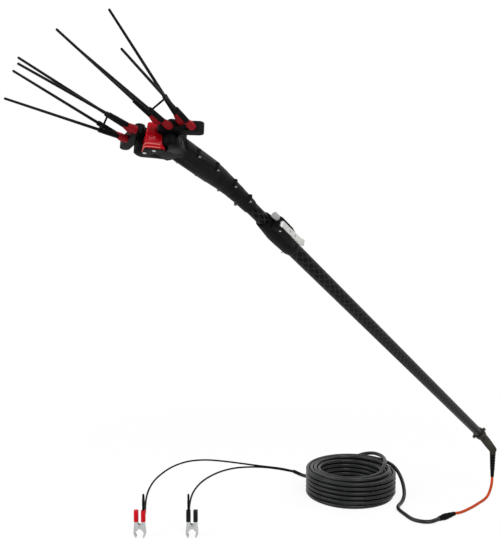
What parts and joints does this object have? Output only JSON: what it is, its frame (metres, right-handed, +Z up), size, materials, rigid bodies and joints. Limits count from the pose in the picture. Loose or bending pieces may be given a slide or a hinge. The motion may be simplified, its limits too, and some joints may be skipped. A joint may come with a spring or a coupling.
{
  "type": "electric olive harvester",
  "caption": "Hand-held electric olive harvester: telescopic carbon pole with a lever clamp, gear-motor head that claps two opposed combs of slim rods, coiled supply cable and battery clamps",
  "frame": {"origin": "on the pole's axis at the hand grip, 424 mm above the tube's foot along the pole", "axes": "+Z up from the ground, +X horizontal along the pole towards the head, +Y to the pole's left seen from its foot"},
  "size_m": [2.2558, 1.326, 1.3393],
  "materials": {
    "carbon_tube": "woven carbon under a clear coat, criss-cross wrap",
    "black_nylon": "fine-grained moulded nylon",
    "black_bar": "satin moulded nylon",
    "red_gloss": "glossy moulded red",
    "brick_socket": "matte brick-red nylon",
    "rod_black": "smooth carbon rod",
    "rubber_black": "soft matte rubber",
    "cable_black": "smooth glossy rubber sheath",
    "cable_orange": "smooth orange sheath",
    "lever_silver": "light silver paint",
    "knob_grey": "fluted grey plastic",
    "elbow_grey": "grained dark grey nylon",
    "steel": "bright machined steel",
    "zinc": "zinc-plated sheet",
    "bronze": "sintered bronze bush",
    "grip_red": "dipped red vinyl",
    "grip_black": "dipped black vinyl"
  },
  "bodies": {
    "pole": {"outer_tube": "carbon_tube", "clamp_sleeve": "black_nylon", "lever_pin": "steel", "pressure_shoe": "rubber_black", "sleeve_screws": "steel", "end_elbow": "elbow_grey", "elbow_screws": "steel", "strain_relief_boot": "rubber_black", "orange_cable": "cable_orange", "connector_plug": "rubber_black", "connector_socket": "rubber_black", "supply_cable": "cable_black", "cable_coil": "cable_black", "coil_tail": "cable_black", "lead_splitter": "rubber_black", "red_lead": "cable_black", "black_lead": "cable_black", "red_fixed_jaw": "zinc", "red_clamp_pin": "steel", "red_clamp_spring": "steel", "red_fixed_grip": "grip_red", "black_fixed_jaw": "zinc", "black_clamp_pin": "steel", "black_clamp_spring": "steel", "black_fixed_grip": "grip_black"},
    "head": {"inner_tube": "carbon_tube", "tube_guide": "black_nylon", "upper_shell": "black_nylon", "lower_shell": "black_nylon", "red_cover": "red_gloss", "shell_screws": "steel", "cover_screws": "steel", "motor": "steel", "gearbox": "steel", "shaft_bushes": "bronze"},
    "clamp_lever": {"clamp_lever": "lever_silver"},
    "tension_knob": {"tension_knob": "knob_grey"},
    "crank": {"crank": "steel"},
    "left_comb": {"left_shaft": "steel", "left_gear": "steel", "left_bar": "black_bar", "left_sockets": "brick_socket", "left_sleeves": "rubber_black", "left_rods": "rod_black", "left_clips": "black_bar", "left_nut": "black_bar", "drive_fork": "steel"},
    "right_comb": {"right_shaft": "steel", "right_gear": "steel", "right_bar": "black_bar", "right_sockets": "brick_socket", "right_sleeves": "rubber_black", "right_rods": "rod_black", "right_clips": "black_bar", "right_nut": "black_bar"},
    "red_jaw": {"red_swing_jaw": "zinc", "red_swing_grip": "grip_red"},
    "black_jaw": {"black_swing_jaw": "zinc", "black_swing_grip": "grip_black"}
  },
  "joints": [
    {"name": "pole_extension", "type": "slide", "parent": "pole", "child": "head", "axis": [0.891, 0, 0.454], "range_m": [0, 0.75]},
    {"name": "lever_hinge", "type": "hinge", "parent": "pole", "child": "clamp_lever", "pos_m": [1.20203, 0.02594, 0.6145], "axis": [0.4529, 0.0698, -0.8888], "range_deg": [0, 110]},
    {"name": "knob_turn", "type": "hinge", "parent": "pole", "child": "tension_knob", "pos_m": [1.2145, 0.02388, 0.62969], "axis": [0.891, 0, 0.454], "range_deg": [-180, 180]},
    {"name": "left_comb_swing", "type": "hinge", "parent": "head", "child": "left_comb", "pos_m": [1.57644, -0.02314, 0.76309], "axis": [0.3138, 0.1718, -0.9338], "range_deg": [0, 24]},
    {"name": "right_comb_swing", "type": "hinge", "parent": "head", "child": "right_comb", "pos_m": [1.57186, 0.03398, 0.77207], "axis": [0.3138, 0.1718, -0.9338], "range_deg": [-24, 0]},
    {"name": "crank_turn", "type": "hinge", "parent": "head", "child": "crank", "pos_m": [1.52589, 0.00414, 0.75113], "axis": [0.9462, 0.0251, 0.3226], "range_deg": [0, 120]},
    {"name": "red_clamp_squeeze", "type": "hinge", "parent": "pole", "child": "red_jaw", "pos_m": [0.596, -0.85, -0.394], "axis": [-0.8508, -0.5255, 0], "range_deg": [0, 9], "stiffness_Nm_per_rad": 3},
    {"name": "black_clamp_squeeze", "type": "hinge", "parent": "pole", "child": "black_jaw", "pos_m": [0.505, -0.703, -0.394], "axis": [0.8508, 0.5255, 0], "range_deg": [0, 9], "stiffness_Nm_per_rad": 3}
  ],
  "couplings": [
    {"joint": "right_comb_swing", "follows": "left_comb_swing", "ratio": -1},
    {"joint": "crank_turn", "follows": "left_comb_swing", "ratio": 5}
  ]
}
